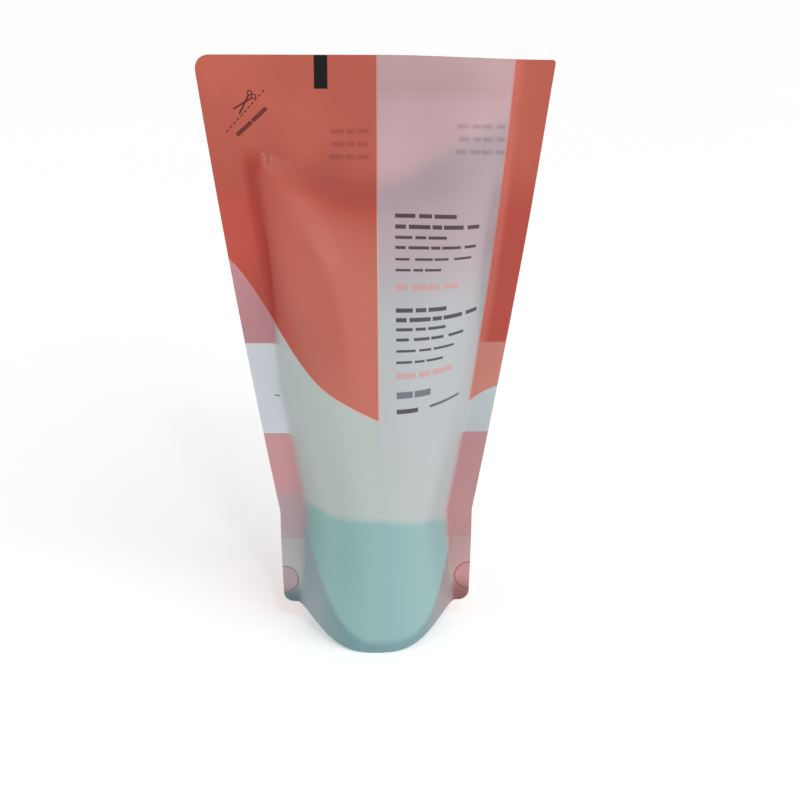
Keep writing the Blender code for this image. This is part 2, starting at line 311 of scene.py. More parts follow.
def grid_mesh(name, grid, flip=False, film_gap=None):
    columns, rows = grid.shape[:2]
    index = np.arange(columns * rows).reshape(columns, rows)
    corners = [index[:-1, :-1], index[1:, :-1], index[1:, 1:], index[:-1, 1:]]
    quads = np.stack(corners[::-1] if flip else corners, -1).reshape(-1, 4)
    mesh = bpy.data.meshes.new(name)
    mesh.from_pydata(grid.reshape(-1, 3).tolist(), [], quads.tolist())
    if film_gap is not None:
        layer = mesh.attributes.new("film_gap", "FLOAT", "POINT")
        layer.data.foreach_set("value", film_gap.reshape(-1).astype(np.float32))
    obj = bpy.data.objects.new(name, mesh)
    bpy.context.scene.collection.objects.link(obj)
    return obj


def applied(obj):
    """The object with its modifiers made real."""
    bpy.context.view_layer.update()
    graph = bpy.context.evaluated_depsgraph_get()
    mesh = bpy.data.meshes.new_from_object(obj.evaluated_get(graph))
    obj.modifiers.clear()
    obj.data = mesh
    mesh.shade_smooth()
    mesh.set_sharp_from_angle(angle=SHARP_ANGLE)
    return obj


def thicken(obj):
    solidify = obj.modifiers.new("film", "SOLIDIFY")
    solidify.thickness = FILM
    solidify.offset = 0.0
    solidify.use_quality_normals = True
    return applied(obj)


def cut(obj, cutter):
    boolean = obj.modifiers.new("cut", "BOOLEAN")
    boolean.operation = "DIFFERENCE"
    boolean.object = cutter
    applied(obj)
    bpy.data.objects.remove(cutter)
    return obj


def stations(count, crowding=CROWDING):
    """Places from -1 to 1, closer together towards both ends."""
    even = np.linspace(-1, 1, count + 1)
    return mix(even, np.sin(even * np.pi / 2), crowding)


print("film thickness:", FILM)

# %% [markdown]
# The two panels
#
# Both panels are the same grid, columns across and rows up, mirrored front to back. Each point also keeps how
# far apart the two films are there. The print will need it: where frosted films touch, the back print shows
# through the front one, and where they part it fades to a tint.

# %% Front and back film
CORNER_POINTS = 12


def panel(name, facing, columns, rows_low, rows_high, relief):
    u = stations(columns)
    low = foot_z(u * FOOT_WIDTH / 2)[:, None]
    below = mix(low, BELLY_Z, np.linspace(0, 1, rows_low, endpoint=False)[None, :])
    corner_z = HEIGHT - TEAR_CORNER_RADIUS
    above = np.linspace(BELLY_Z, corner_z, rows_high, endpoint=False)
    turns = np.linspace(0, np.pi / 2, CORNER_POINTS)
    corner = corner_z + TEAR_CORNER_RADIUS * np.sin(turns)
    upper = np.broadcast_to(np.concatenate([above, corner]), (len(u), rows_high + len(turns)))
    z = np.concatenate([below, upper], axis=1)
    side = np.where(u < 0, -1.0, 1.0)[:, None]
    x = edge_x(side, z) * np.abs(u)[:, None]
    out = layer_y(x, z, FILM / 2) + relief(x, z)
    y = middle_y(x, z) + facing * out
    curl = curled(x, z)
    points = np.stack([x - CURL_INWARDS * curl, y, z - CURL_DROP * curl], -1)
    film_gap = 2 * MILLIMETRES * bulge(x, z)
    return thicken(grid_mesh(name, points, facing > 0, film_gap))


front_film = panel("front_film", facing=-1, columns=150, rows_low=60, rows_high=190, relief=front_relief)
back_film = panel("back_film", facing=1, columns=120, rows_low=50, rows_high=150, relief=back_relief)
print("front film:", len(front_film.data.polygons), "faces; back film:", len(back_film.data.polygons))

# %% [markdown]
# The bottom gusset
#
# The foot is a third web, folded up between the panels. Its two legs are sealed to them, low in the middle
# and up to the fold at the sides, along a line like a U. Inside the U it opens into the floor that the pouch
# stands on. At the sides it stays folded, and a hole punched through both legs lets the panels weld together.

# %% Fold the gusset
FOLD_HALF_SPAN = 0.0262
SEAL_LINE_POWER = 2.4
FLANGE_HEIGHT = 0.0055
FLOOR_FLAT_HALF_LENGTH = 0.012
FLOOR_FLAT_SHARE = 0.50
FLOOR_EDGE_RADIUS = 0.0015
FLOOR_EDGE_SHARE = 0.8
PUNCH_RADIUS = 0.0055
PUNCH_Z = 0.0190
PUNCH_DEPTH = 0.02
PUNCH_SIDES = 64


def seal_line_z(x):
    u = np.clip(np.abs(x) / FOLD_HALF_SPAN, 0.0, 1.0)
    return mix(FLANGE_HEIGHT, FOLD_Z, u**SEAL_LINE_POWER)


def gusset_y(x, z):
    return layer_y(x, z, -LAYER_GAP - FILM / 2)


def floor_edge(u):
    z = seal_line_z(u * FOOT_WIDTH / 2)
    x = u * side_x(z)
    radius = np.minimum(FLOOR_EDGE_RADIUS, FLOOR_EDGE_SHARE * gusset_y(x, z))
    return x, gusset_y(x, z - radius), z, radius


def floor_z(x, y):
    half, top, radius = floor_edge(x / side_x(seal_line_z(x)))[1:]
    rise = smooth((np.abs(x) - FLOOR_FLAT_HALF_LENGTH) / (FOLD_HALF_SPAN - FLOOR_FLAT_HALF_LENGTH))
    middle = mix(FILM / 2, top, rise)
    share = np.clip(np.abs(y) / (half - radius), 0.0, 1.0)
    return mix(middle, top, smooth((share - FLOOR_FLAT_SHARE) / (1 - FLOOR_FLAT_SHARE)))


def gusset(columns, leg_points, arc_points, floor_points):
    u = stations(columns)[:, None]
    x, half, top, radius = floor_edge(u)
    leg_z = mix(foot_z(u * FOOT_WIDTH / 2), top - radius, np.linspace(0, 1, leg_points)[None, :])
    leg_x = u * side_x(leg_z)
    leg = np.stack([leg_x, -gusset_y(leg_x, leg_z), leg_z], -1)
    turn = np.linspace(0, np.pi / 2, arc_points + 2)[None, 1:-1]
    arc_y = -half + radius * (1 - np.cos(turn))
    arc = np.stack([x + 0 * turn, arc_y, top - radius + radius * np.sin(turn)], -1)
    floor_y = np.linspace(-1, 1, floor_points)[None, :] * (half - radius)
    floor = np.stack([x + 0 * floor_y, floor_y, floor_z(x + 0 * floor_y, floor_y)], -1)
    mirror = np.array([1, -1, 1])
    runs = [leg, arc, floor, arc[:, ::-1] * mirror, leg[:, ::-1] * mirror]
    return thicken(grid_mesh("gusset_film", np.concatenate(runs, axis=1)))


gusset_film = gusset(columns=150, leg_points=16, arc_points=4, floor_points=50)
for side in (-1, 1):
    bpy.ops.mesh.primitive_cylinder_add(
        vertices=PUNCH_SIDES,
        radius=PUNCH_RADIUS,
        depth=PUNCH_DEPTH,
        location=(side * float(side_x(PUNCH_Z)), 0, PUNCH_Z),
        rotation=(math.pi / 2, 0, 0),
    )
    cut(gusset_film, bpy.context.object)
print("gusset:", len(gusset_film.data.polygons), "faces, with two punched corners")

# %% [markdown]
# The liquid
#
# Body wash fills the pouch up to its headspace. Only its pale mass shows, through the front film, so it is
# one smooth solid that follows the inside of both panels and stops short of the gusset's floor.

# %% Fill the pouch
FILL_Z = 0.158
LIQUID_EDGE_SHARE = 0.93
LIQUID_EDGE_HALF_THICKNESS = 0.0001
LIQUID_GAP = 0.0005
FLOOR_CLEARANCE = 0.0006
CLOSED_FOLD = 0.0016
MARGIN = 0.004
LIQUID_CROWDING = 0.6


def tube_mesh(name, rings):
    """A closed solid: walls between rings of points, and a cap across each end, row by row."""
    rows, count = rings.shape[:2]
    index = np.arange(rows * count).reshape(rows, count)
    turned = np.roll(index, -1, axis=1)
    faces = np.stack([index[:-1], turned[:-1], turned[1:], index[1:]], -1).reshape(-1, 4).tolist()
    for line in (index[0], index[-1]):
        near, far = line[: count // 2], line[: count // 2 - 1 : -1]
        faces += np.stack([near[:-1], near[1:], far[1:], far[:-1]], -1).tolist()
    mesh = bpy.data.meshes.new(name)
    mesh.from_pydata(rings.reshape(-1, 3).tolist(), [], faces)
    bm = bmesh.new()
    bm.from_mesh(mesh)
    bmesh.ops.recalc_face_normals(bm, faces=bm.faces)
    bm.to_mesh(mesh)
    bm.free()
    obj = bpy.data.objects.new(name, mesh)
    bpy.context.scene.collection.objects.link(obj)
    return obj


def liquid_body(columns, rows):
    z = np.linspace(0, FILL_Z, rows)[:, None]
    x = stations(columns, LIQUID_CROWDING)[None, :] * crease_x(z) * LIQUID_EDGE_SHARE
    z = z + 0 * x
    sides = []
    for facing, fold in ((-1, side_fold(x, z)), (1, 0 * x)):
        out = np.maximum(layer_y(x, z, -LIQUID_GAP) + fold, LIQUID_EDGE_HALF_THICKNESS)
        sides.append(np.stack([x, middle_y(x, z) + facing * out, z], -1))
    return tube_mesh("body_wash_fill", np.concatenate([sides[0], sides[1][:, ::-1]], axis=1))


def under_the_floor(columns, floor_points):
    u = stations(columns)[:, None]
    x, half, top, radius = floor_edge(u)
    y = np.linspace(-1, 1, floor_points)[None, :] * np.maximum(half - radius, CLOSED_FOLD)
    x = x + 0 * y
    clear = (FILM / 2 + FLOOR_CLEARANCE) * steepness(floor_z, x, y).max(axis=1, keepdims=True)
    floor = np.stack([x, y, floor_z(x, y) + clear], -1)
    wide = np.stack([x[:, :1], 0 * half + BELLY_DEPTH + MARGIN, top + clear], -1)
    upper = np.concatenate([wide * [1, -1, 1], floor, wide], axis=1)
    lower = upper[:, ::-1].copy()
    lower[:, :, 2] = -MARGIN
    return tube_mesh("under_the_floor", np.concatenate([upper, lower], axis=1))


body_wash_fill = cut(liquid_body(columns=90, rows=110), under_the_floor(columns=90, floor_points=30))
print("liquid:", len(body_wash_fill.data.polygons), "faces")

# %% [markdown]
# Writing a finish as sums
#
# A printed film is a set of colour fields, and each field is a small sum on the place of a point: left of
# this line, above that curve. Blender does such sums with nodes. The class below wraps a socket, so that a
# line of Python such as 1 - mask adds the nodes itself.

# %% One class for shader maths
class Value:
    def __init__(self, finish, socket):
        self.finish = finish
        self.socket = socket

    def math(self, operation, *others):
        sockets = dict(enumerate((self,) + others))
        return self.finish.add("ShaderNodeMath", {"operation": operation}, sockets)

    def flipped(self, operation, other):
        return self.finish.add("ShaderNodeMath", {"operation": operation}, {0: other, 1: self})

    def __add__(self, other):
        return self.math("ADD", other)

    def __radd__(self, other):
        return self.math("ADD", other)

    def __sub__(self, other):
        return self.math("SUBTRACT", other)

    def __rsub__(self, other):
        return self.flipped("SUBTRACT", other)

    def __mul__(self, other):
        return self.math("MULTIPLY", other)

    def __rmul__(self, other):
        return self.math("MULTIPLY", other)

    def __truediv__(self, other):
        return self.math("DIVIDE", other)

    def __rtruediv__(self, other):
        return self.flipped("DIVIDE", other)

    def __pow__(self, other):
        return self.math("POWER", other)

    def __rpow__(self, other):
        return self.flipped("POWER", other)

    def __abs__(self):
        return self.math("ABSOLUTE")

    def past(self, limit, soft=0.12):
        """0 before a limit and 1 past it, with a soft step between."""
        settings = {"interpolation_type": "SMOOTHSTEP"}
        gone = self - limit
        return self.finish.add("ShaderNodeMapRange", settings, {0: gone, 1: -soft, 2: soft, 3: 0.0, 4: 1.0})

    def within(self, low, high, soft=0.12):
        return self.past(low, soft) * (1 - self.past(high, soft))


class Finish:
    """One material, and the one method that adds a node to it."""

    def __init__(self, name):
        self.material = bpy.data.materials.new(name)
        self.material.use_nodes = True
        self.tree = self.material.node_tree
        self.shader = self.tree.nodes["Principled BSDF"]
        place = self.add("ShaderNodeTexCoord", output="Object")
        split = self.add("ShaderNodeSeparateXYZ", sockets={0: place})
        self.place = place
        self.x = split * MILLIMETRES
        self.z = Value(self, split.socket.node.outputs[2]) * MILLIMETRES

    def add(self, kind, settings=None, sockets=None, output=0):
        node = self.tree.nodes.new(kind)
        for key, value in (settings or {}).items():
            setattr(node, key, value)
        for key, value in (sockets or {}).items():
            self.feed(node.inputs[key], value)
        return Value(self, node.outputs[output])

    def feed(self, socket, value):
        if isinstance(value, Value):
            self.tree.links.new(value.socket, socket)
        else:
            socket.default_value = value

    def blend(self, under, over, mask, kind="MIX"):
        """One colour laid over another by a mask."""
        settings = {"data_type": "RGBA", "blend_type": kind}
        return self.add("ShaderNodeMix", settings, {0: mask, 6: under, 7: over}, output=2)

    def segment(self, start, end, half_width, soft=0.1):
        """A straight stroke between two places, in millimetres."""
        along_x, along_z = end[0] - start[0], end[1] - start[1]
        squared = along_x**2 + along_z**2
        dx, dz = self.x - start[0], self.z - start[1]
        t = ((dx * along_x + dz * along_z) * (1 / squared)).math("MAXIMUM", 0.0).math("MINIMUM", 1.0)
        off_x, off_z = dx - t * along_x, dz - t * along_z
        return 1 - (off_x * off_x + off_z * off_z).math("SQRT").past(half_width, soft)

    def ring(self, centre, radius, half_width, soft=0.1):
        dx, dz = self.x - centre[0], self.z - centre[1]
        distance = (dx * dx + dz * dz).math("SQRT")
        return 1 - abs(distance - radius).past(half_width, soft)

    def disc(self, centre, radius, soft=0.2):
        dx, dz = self.x - centre[0], self.z - centre[1]
        return 1 - (dx * dx + dz * dz).math("SQRT").past(radius, soft)

    def noise(self, scale, detail=2.0, stretch=(1, 1, 1)):
        settings = {"operation": "MULTIPLY"}
        place = self.add("ShaderNodeVectorMath", settings, {0: self.place, 1: stretch})
        return self.add("ShaderNodeTexNoise", {}, {"Vector": place, "Scale": scale, "Detail": detail})


print("operators that add nodes: + - * / ** and abs")

# %% [markdown]
# The back print
#
# The back panel is printed coral, with a pale label band across it and blocks of small lines. Lines of words
# are plain bars here, broken like words and ragged at their right: they give the scale of print and say
# nothing. The bars of a block repeat at an even pitch, so one sum draws a whole block.

# %% Fields of the back print
BAND = (80.0, 115.5)
# Blocks of lines, as read from behind: left, right, low, high, pitch of the lines, words in a line
HEAD_BLOCKS = [(2.0, 19.5, 181.0, 195.0, 4.6, 3), (-45.5, -24.0, 184.0, 197.0, 4.6, 4)]
LABEL_BLOCK = (-27.0, 27.0, 84.0, 111.5, 3.4, 9)
LINE_SHARE = (0.08, 0.40)    # where in its pitch a bar starts and ends
RAGGED_SHARE = 0.35
WORD_SHARE = 0.86
WORD_UNEVENNESS = 0.045
USUAL_LINE = 20
FIRST_DRAW = 7.0


def words_across(x, left, end, words, soft=0.1):
    """1 on the words of a line and 0 on the gaps, with long and short words in turn."""
    t = (x - left) / (end - left)
    warped = words * (t + WORD_UNEVENNESS * (t * (4 * math.pi)).math("SINE"))
    gaps = warped.math("FRACT").within(0.0, WORD_SHARE, soft * words / USUAL_LINE)
    return gaps * x.past(left, soft) * (1 - t.past(1.0, soft / USUAL_LINE))


def bar_block(finish, left, right, low, high, pitch, words, soft=0.12):
    """A block of lines at an even pitch, each as long as a draw of its own says."""
    rows = (high - finish.z) * (1 / pitch)
    draw = {"W": rows.math("FLOOR") + FIRST_DRAW}
    dice = finish.add("ShaderNodeTexWhiteNoise", {"noise_dimensions": "1D"}, draw)
    end = right - (right - left) * RAGGED_SHARE * dice
    line = rows.math("FRACT").within(*LINE_SHARE, soft / pitch)
    return line * finish.z.within(low, high, soft) * words_across(0 - finish.x, left, end, words, soft)


def back_band(finish):
    return finish.z.within(*BAND)


def head_lines(finish, soft):
    first, second = [bar_block(finish, *block, soft=soft) for block in HEAD_BLOCKS]
    return first.math("MAXIMUM", second)


print("label band on the back: z", *BAND, "mm")

# %% [markdown]
# The front print
#
# The front is a few plain fields. A coral field fills the upper left down to a long curve, a pale panel runs
# down beside it, a coral strip follows the right side, the middle is left white and the foot is mint. Where
# two inks meet there is a thin pale line, as the plates don't quite meet.

# %% Where each front field lies
# In millimetres. Where a name holds two numbers, they are a limit and how soft its edge is, if not said here.
PANEL_LEFT = 0.5
PANEL_LOW = (84.0, 12.0)
CORAL_TIP_Z = 94.8
CURVE_SPAN = 50
CURVE_RISE = 23.0
SHOULDER_EXTRA = 26.8
SHOULDER_FROM = (0.675, 0.375)
STRIP_FOOT = (34.6, 92.4)            # across and up
STRIP_LEAN = 13.8
STRIP_BOW = 5.6
STRIP_FOOT_RISE = (0.95, 0.035)      # straight and bowed
RIM = (-0.8, 0.0, 0.4)               # from, to and soft, measured from a field's edge
STRIP_RIM = (-0.6, 0.2, 0.3)
PANEL_RIM = (PANEL_LEFT - 0.3, PANEL_LEFT + 0.6, 0.3)
RIGHT_HALF = (0.0, 8.0)
MINT_TOP = (-1.0, 58.6)              # across and up
MINT_FALL = (0.0105, 0.0095)         # on the left, and what the right adds
MINT_SOFT = 1.8
FOOT_SEAL_X = 1.2
FOOT_SEAL_HALF_SPAN = (26.4, 0.9)    # on the left, and what the right adds
FOOT_SEAL_LOW = 5.5
FOOT_SEAL_RISE = 31.5
FOOT_SEAL_POWER = (2.4, 2.2)         # on the left, and what the right adds
FOOT_SEAL_SOFT = 2.6
EAR_SOFT = 0.5


class Fields:
    """The masks of the front print."""

    def __init__(self, finish):
        x, z = finish.x, finish.z
        self.right = x.past(*RIGHT_HALF)
        self.ear = 1 - z.past(FOLD_Z * MILLIMETRES, EAR_SOFT)
        self.lay_coral(x, z)
        self.lay_mint(x, z)
        self.lay_sealed_foot(x, z)

    def lay_coral(self, x, z):
        """The coral field, the strip on the right, the pale panel between, and the rims of all three."""
        t = (PANEL_LEFT - x) * (1 / CURVE_SPAN)
        over_curve = z - CORAL_TIP_Z - t * (CURVE_RISE + SHOULDER_EXTRA * t.past(*SHOULDER_FROM))
        left = 1 - x.past(PANEL_LEFT)
        foot_x, foot_top = STRIP_FOOT
        up = (z - foot_top) * (1 / (HEIGHT * MILLIMETRES - foot_top))
        self.out = x - (foot_x + STRIP_LEAN * up + STRIP_BOW * up * (1 - up))
        straight, bowed = STRIP_FOOT_RISE
        over_strip_foot = z - (foot_top + straight * self.out - bowed * self.out * self.out)
        self.strip = self.out.past(0.0) * over_strip_foot.past(0.0)
        self.coral = (over_curve.past(0.0) * left).math("MAXIMUM", self.strip)
        self.panel = x.past(PANEL_LEFT) * (1 - self.out.past(0.0)) * z.past(*PANEL_LOW)
        curve_rim = over_curve.within(*RIM) * left
        strip_rim = self.out.within(*STRIP_RIM) * z.past(foot_top)
        panel_rim = x.within(*PANEL_RIM) * z.past(CORAL_TIP_Z)
        self.rim = curve_rim.math("MAXIMUM", strip_rim).math("MAXIMUM", panel_rim)

    def lay_mint(self, x, z):
        """The mint foot, whose top is a low hill."""
        top_x, top_z = MINT_TOP
        hill = x - top_x
        fall, more = MINT_FALL
        steep = fall + more * hill.past(0.0, 1.0)
        self.mint = 1 - (z - (top_z - steep * hill * hill)).past(0.0, MINT_SOFT)

    def lay_sealed_foot(self, x, z):
        """Below the line where the gusset is sealed to the panel, rounder on the right."""
        span, more_span = FOOT_SEAL_HALF_SPAN
        power, more_power = FOOT_SEAL_POWER
        share = abs(x - FOOT_SEAL_X) / (span + more_span * self.right)
        line = FOOT_SEAL_LOW + FOOT_SEAL_RISE * share ** (power + more_power * self.right)
        self.sealed_foot = 1 - (z - line).past(0.0, FOOT_SEAL_SOFT)


print("masks of the front print: coral, strip, panel, rim, mint, sealed foot and ear")

# %% [markdown]
# Painted shade on the folds
#
# The film is darkened with painted shade in three places. The first is the steep side of the fold by the left
# seal, where the film turns away and its coral is also made deeper as the films touch. The second is the loose
# facet beside that fold, and the third is the shallow valley just above the liquid, less over the pale panel.
# These places have edges of their own, which follow the folds and not the print, so they are a second set of
# masks.

# %% Where the folds get painted shade
# Where the painted shade lies, in millimetres.
FLANK_TOP_Z = 184.5
FLANK_SEAL_EDGE = (47.0, 0.157, 1.8)         # start, lean and softness
FLANK_RIDGE = (40.3, 0.0028)                 # start and bow
FLANK_RIDGE_SOFT = (1.4, 0.03)               # at the top, and growing downwards
FLANK_HEIGHTS = (100.0, 185.0, 5.0)          # from, to and soft
SLACK_SHADE_TOP_Z = 180.0
SLACK_SHADE_EDGE = (36.8, 0.709, 0.0046, 2.4)      # start, lean, bow and softness
SLACK_SHADE_HEIGHTS = (112.0, 182.0, 14.0)         # from, to and soft
VALLEY = (166.0, 0.0115)                     # height in the middle, and rise towards the sides
VALLEY_DEPTH = (0.0, 11.0, 6.0)              # from, to and soft
VALLEY_X = 6.0
VALLEY_HALF_WIDTH = (27.0, 14.0)


class FoldShade:
    """Masks of painted shade: the steep side of the fold by the left seal, with deeper coral there too, the
    loose facet beside it, and the dip above the liquid.
    """

    def __init__(self, finish):
        x, z = finish.x, finish.z
        down = FLANK_TOP_Z - z
        start, bow = FLANK_RIDGE
        soft, more_soft = FLANK_RIDGE_SOFT
        ridge = (x + start - bow * down * down) / (soft + more_soft * down)
        start, lean, soft = FLANK_SEAL_EDGE
        off_the_seal = (x + start - lean * down).past(0.0, soft)
        # Painted shade, with a deeper coral: the steep side of the fold, between the seal's edge and the
        # ridge.
        self.flank_shade = off_the_seal * (1 - ridge.past(0.0, 1.0)) * z.within(*FLANK_HEIGHTS)
        # Painted shade on the loose facet beside the fold.
        below = SLACK_SHADE_TOP_Z - z
        start, lean, bow, soft = SLACK_SHADE_EDGE
        facet = x + start - lean * below + bow * below * below
        self.slack_shade = off_the_seal * (1 - facet.past(0.0, soft)) * z.within(*SLACK_SHADE_HEIGHTS)
        # Painted shade in the dip just above the liquid.
        height, rise = VALLEY
        over_valley = z - (height + rise * x * x)
        self.valley_shade = over_valley.within(*VALLEY_DEPTH) * (1 - abs(x + VALLEY_X).past(*VALLEY_HALF_WIDTH))


print("masks of the hang: flank, slack and valley")

# %% [markdown]
# Frosted film, seen through
#
# Frosted film shows what lies against it and blurs away what doesn't. In the seals the pink back print shows
# through; over the liquid the film is backed by white; in the foot the folded gusset greys it. The film's
# own colour is therefore mixed by how far apart the two films are, and where they touch it is also let
# through a little for real, so that the gusset and its punched holes are seen behind it.

# %% Inks and what lies behind them
def ink(red, green, blue):
    """A colour as a screen shows it, 0 to 255, in the renderer's linear light."""
    shares = [part / 255 for part in (red, green, blue)]
    return (*[s / 12.92 if s <= 0.04045 else ((s + 0.055) / 1.055) ** 2.4 for s in shares], 1.0)


PUNCH_CENTRES = [(-35.5, 19.5), (35.7, 20.5)]
PUNCH_INKS = [(172, 146, 155), (196, 138, 140)]
PUNCH_LINE_INKS = [(96, 84, 90), (108, 44, 52)]
PUNCH_LINE_RADIUS = 5.6
# Deeper spots in the two ears, by place and ink
CORNERS = [((33.0, 14.0), (140, 92, 92)), ((-33.0, 10.5), (92, 112, 118))]
CORNER_RADIUS = (4.0, 3.5)
# Height below which the left seal's pink is painted lighter, as painted light against the belly's shadow, and
# how soft the change is.
PAINTED_LIGHT_BELOW = (98.0, 10.0)
MAUVE_BELOW = (55.0, 4.0)
EAR_FOOT_BELOW = (16.0, 7.0)


def seal_colour(finish, fields):
    """What the clear film of the seals shows: the back print, and the gusset below its fold. Low on the left
    seal the pink is painted lighter, as painted light against the belly's shadow.
    """
    # Painted light: low on the left the seal's pink is lighter, to make up for the shadow that the belly casts
    # there.
    pink = finish.blend(ink(203, 152, 156), ink(190, 137, 143), finish.z.past(*PAINTED_LIGHT_BELOW))
    colour = finish.blend(pink, ink(192, 143, 146), fields.right)
    band = finish.blend(ink(207, 213, 219), ink(186, 194, 197), fields.right)
    colour = finish.blend(colour, band, back_band(finish))
    mauve = finish.blend(ink(183, 160, 165), ink(193, 144, 146), fields.right)
    colour = finish.blend(colour, mauve, 1 - finish.z.past(*MAUVE_BELOW))
    ear = finish.blend(ink(178, 174, 174), ink(193, 155, 155), fields.right)
    ear_foot = finish.blend(ink(104, 121, 126), ink(139, 86, 82), fields.right)
    ear = finish.blend(ear, ear_foot, 1 - finish.z.past(*EAR_FOOT_BELOW))
    for centre, paint in zip(PUNCH_CENTRES, PUNCH_INKS):
        ear = finish.blend(ear, ink(*paint), finish.disc(centre, PUNCH_LINE_RADIUS) * 0.8)
    return finish.blend(colour, ear, fields.ear)


def closeness(gap, reach):
    """1 where the films touch, fading as they part, with the gap and reach in millimetres."""
    return (gap * (-1 / reach)).math("EXPONENT")


print("coral (190, 109, 95) in linear light:", [round(part, 3) for part in ink(190, 109, 95)])

# %% [markdown]
# Mixing the front
#
# Each field is laid over the last one, in the order that the inks lie: clear film, mint, panel, coral, marks.

# %% The front film's finish
# Inks of a field at its left, middle and right, and where one turns into the next
WHITE = [(180, 191, 188), (175, 184, 181), (180, 185, 187)]
MINT = [(140, 182, 179), (137, 173, 172), (143, 179, 178)]
MIDDLE_FROM = (-6.0, 14.0)
RIGHT_FROM = (14.0, 12.0)
TOUCH_REACH = 3.0
RIGHT_TOUCH_IS_SHORTER = 0.8
FOOT_MIDDLE_X = 1.5
FOOT_SIDES_FROM = (21.0, 8.0)
EAR_FROM = (27.5, 3.0)
PINK_PANEL_FROM = (171.0, 6.0)
PINK_PANEL_LEAN = 0.6
PANEL_TOP_FROM = (206.0, 4.0)
PANEL_TINT_FROM = (142.0, 20.0)
CORAL_REACH = 7.0
DEEP_CORAL_FROM = (176.0, 14.0)
STRIP_EDGE = (2.4, 1.6)
SMUDGE = ((-13.5, 183.0), 4.0, 9.0)  # place, radius and soft
CLOUD_DEEP, CLOUD_LIGHT = (0.56, 0.10), (0.44, 0.10)
SEE_THROUGH = 0.12


def across(finish, left, middle, right):
    """A field's ink, which changes a little from left to right."""
    colour = finish.blend(ink(*left), ink(*middle), finish.x.past(*MIDDLE_FROM))
    return finish.blend(colour, ink(*right), finish.x.past(*RIGHT_FROM))


def foot_colour(finish, fields, colour, touch):
    """The foot, greyed by the gusset that is sealed behind it."""
    sides = abs(finish.x - FOOT_MIDDLE_X).past(*FOOT_SIDES_FROM)
    outer = finish.blend(ink(149, 163, 166), ink(166, 144, 144), fields.right)
    sealed = finish.blend(ink(115, 148, 153), outer, sides)
    in_ear = touch * abs(finish.x).past(*EAR_FROM)
    return finish.blend(colour, sealed, fields.sealed_foot * (1 - in_ear))


def panel_colour(finish):
    """The pale panel: pink above, mauve over the liquid's shoulder, and nearly white below."""
    pink_from = (finish.z - PINK_PANEL_LEAN * finish.x).past(*PINK_PANEL_FROM)
    tint = finish.blend(ink(199, 167, 171), ink(177, 159, 166), 1 - pink_from)
    tint = finish.blend(tint, ink(192, 158, 161), finish.z.past(*PANEL_TOP_FROM))
    return finish.blend(ink(180, 184, 187), tint, finish.z.past(*PANEL_TINT_FROM))


def coral_colour(finish, fields, fold_shade, gap, touch):
    """Coral, deeper where the films are close, with painted shade on the loose facet and on the steep side of
    the fold, where the coral is also deeper.
    """
    deep = finish.blend(ink(174, 74, 62), ink(178, 88, 73), finish.z.past(*DEEP_CORAL_FROM))
    colour = finish.blend(ink(190, 109, 95), deep, closeness(gap, CORAL_REACH))
    strip_edge = fields.strip * (1 - fields.out.past(*STRIP_EDGE))
    colour = finish.blend(colour, ink(188, 98, 86), strip_edge)
    over_band = touch.math("MAXIMUM", fields.strip) * back_band(finish)
    colour = finish.blend(colour, ink(189, 121, 110), over_band)
    # Painted shade: the loose facet is multiplied darker, and the steep side of the fold darker and a deeper
    # coral.
    only_slack_shade = fold_shade.slack_shade * (1 - 0.6 * fold_shade.flank_shade)
    colour = finish.blend(colour, (0.92, 0.83, 0.82, 1.0), only_slack_shade, "MULTIPLY")
    colour = finish.blend(colour, (0.96, 0.62, 0.56, 1.0), fold_shade.flank_shade * 0.9, "MULTIPLY")
    return finish.blend(colour, (0.78, 0.82, 0.86, 1.0), finish.disc(*SMUDGE) * 0.7, "MULTIPLY")


def haze(finish, colour, touch):
    """Uneven contact between two films: soft lighter and deeper places."""
    cloud = finish.noise(scale=17.0)
    deeper = touch * cloud.past(*CLOUD_DEEP) * 0.5
    lighter = touch * (1 - cloud.past(*CLOUD_LIGHT))
    colour = finish.blend(colour, (0.86, 0.84, 0.84, 1.0), deeper, "MULTIPLY")
    return finish.blend(colour, (1.12, 1.14, 1.14, 1.0), lighter, "MULTIPLY")


def front_finish():
    finish = Finish("frosted film, front print")
    fields, fold_shade = Fields(finish), FoldShade(finish)
    gap = finish.add("ShaderNodeAttribute", {"attribute_name": "film_gap"}, output="Fac")
    touch = closeness(gap * (1 + RIGHT_TOUCH_IS_SHORTER * fields.right), TOUCH_REACH)
    colour = finish.blend(across(finish, *WHITE), across(finish, *MINT), fields.mint)
    colour = finish.blend(colour, seal_colour(finish, fields), touch)
    colour = foot_colour(finish, fields, colour, touch)
    colour = finish.blend(colour, panel_colour(finish), fields.panel)
    rim = finish.blend(ink(208, 168, 158), ink(204, 140, 130), touch)
    colour = finish.blend(colour, rim, fields.rim * 0.6)
    colour = finish.blend(colour, coral_colour(finish, fields, fold_shade, gap, touch), fields.coral)
    # Painted shade in the shallow valley just above the liquid, weaker over the pale panel.
    shaded = fold_shade.valley_shade * (1 - 0.4 * fields.panel)
    colour = finish.blend(colour, (0.81, 0.81, 0.83, 1.0), shaded, "MULTIPLY")
    colour = haze(finish, colour, touch)
    for place, paint in CORNERS:
        colour = finish.blend(colour, ink(*paint), finish.disc(place, *CORNER_RADIUS) * 0.6)
    finish.feed(finish.shader.inputs["Base Color"], front_marks(finish, colour, touch))
    finish.feed(finish.shader.inputs["Alpha"], 1 - SEE_THROUGH * touch * (1 - fields.coral))
    film_surface(finish)
    return finish.material


print("white and mint have", len(WHITE), "inks each, from left to right")

# %% [markdown]
# Small marks on the front
#
# A black eye mark guides the filling machine. A dashed line with a pair of scissors shows where to cut. Each
# punched corner shows as a fine arc. The rest is bars, where lines of words would be.

